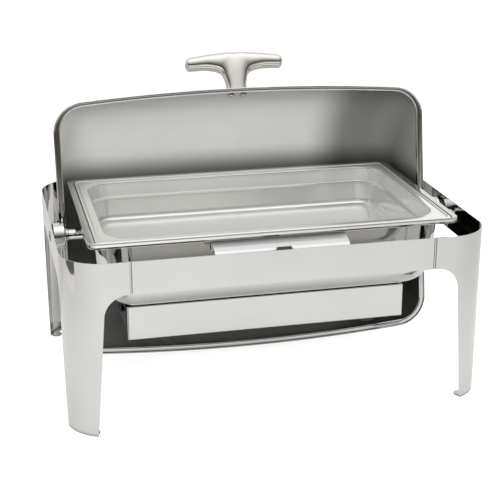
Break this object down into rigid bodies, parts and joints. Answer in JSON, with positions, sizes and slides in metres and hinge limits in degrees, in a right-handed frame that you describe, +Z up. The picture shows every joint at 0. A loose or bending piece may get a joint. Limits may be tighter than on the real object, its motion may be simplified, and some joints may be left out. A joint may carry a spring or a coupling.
{
  "type": "chafing dish food warmer",
  "caption": "Rectangular roll-top chafing dish: sheet-steel stand, water pan, lift-out food pan, swing-back domed lid with T-handle and a sliding burner shelf.",
  "frame": {"origin": "on the floor under the middle of the stand", "axes": "+X to the right along the lid's pivot axis, +Z up, and the front with the burner shelf faces -Y"},
  "size_m": [0.6384, 0.44, 0.4847],
  "materials": {
    "polished_steel": "mirror-polished stainless steel",
    "lid_steel": "stainless steel, satin inside and polished outside",
    "pan_steel": "bright satin stainless steel",
    "satin_steel": "satin stainless steel",
    "dark_steel": "blackened steel strip",
    "chrome": "chromed casting",
    "rubber": "black moulded rubber",
    "nylon": "natural nylon"
  },
  "bodies": {
    "stand": {"frame_end_left": "polished_steel", "frame_end_right": "polished_steel", "front_band": "polished_steel", "rear_band": "polished_steel", "front_ledge": "polished_steel", "lid_bumper": "rubber", "water_pan": "polished_steel", "pan_lug_left": "satin_steel", "pan_lug_right": "satin_steel", "pivot_rod_left": "polished_steel", "pivot_rod_right": "polished_steel", "pivot_screw_left": "polished_steel", "pivot_screw_right": "polished_steel", "shelf_rail_left": "dark_steel", "shelf_rail_right": "dark_steel", "foot_front_left": "satin_steel", "foot_front_right": "satin_steel", "foot_rear_left": "satin_steel", "foot_rear_right": "satin_steel"},
    "lid": {"lid_shell": "lid_steel", "lid_handle": "chrome", "hinge_arm_left": "polished_steel", "hinge_arm_right": "polished_steel", "hinge_bush_left": "nylon", "hinge_bush_right": "nylon", "handle_screw_left": "satin_steel", "handle_screw_right": "satin_steel", "hinge_rivet_front_left": "satin_steel", "hinge_rivet_front_right": "satin_steel", "hinge_rivet_rear_left": "satin_steel", "hinge_rivet_rear_right": "satin_steel"},
    "food_pan": {"food_pan": "pan_steel"},
    "shelf": {"shelf_facing": "polished_steel", "shelf_tray": "satin_steel", "shelf_button_front_left": "rubber", "shelf_button_front_right": "rubber", "shelf_button_rear_left": "rubber", "shelf_button_rear_right": "rubber"},
    "burner_left": {"burner_cup_left": "satin_steel", "burner_pin_left": "satin_steel"},
    "burner_right": {"burner_cup_right": "satin_steel", "burner_pin_right": "satin_steel"},
    "cover_left": {"burner_cover_left": "satin_steel"},
    "cover_right": {"burner_cover_right": "satin_steel"}
  },
  "joints": [
    {"name": "lid_roll", "type": "hinge", "parent": "stand", "child": "lid", "pos_m": [0, 0, 0.2371], "axis": [1, 0, 0], "range_deg": [0, 99.5]},
    {"name": "food_pan_lift", "type": "slide", "parent": "stand", "child": "food_pan", "axis": [0, 0, 1], "range_m": [0, 0.03]},
    {"name": "shelf_slide", "type": "slide", "parent": "stand", "child": "shelf", "axis": [0, -1, 0], "range_m": [0, 0.16]},
    {"name": "burner_left_lift", "type": "slide", "parent": "shelf", "child": "burner_left", "axis": [0, 0, 1], "range_m": [0, 0.012]},
    {"name": "burner_right_lift", "type": "slide", "parent": "shelf", "child": "burner_right", "axis": [0, 0, 1], "range_m": [0, 0.012]},
    {"name": "cover_left_swing", "type": "hinge", "parent": "burner_left", "child": "cover_left", "pos_m": [-0.1165, 0.0458, 0.15], "axis": [0, 0, 1], "range_deg": [0, 90]},
    {"name": "cover_right_swing", "type": "hinge", "parent": "burner_right", "child": "cover_right", "pos_m": [0.1165, 0.0458, 0.15], "axis": [0, 0, -1], "range_deg": [0, 90]}
  ]
}
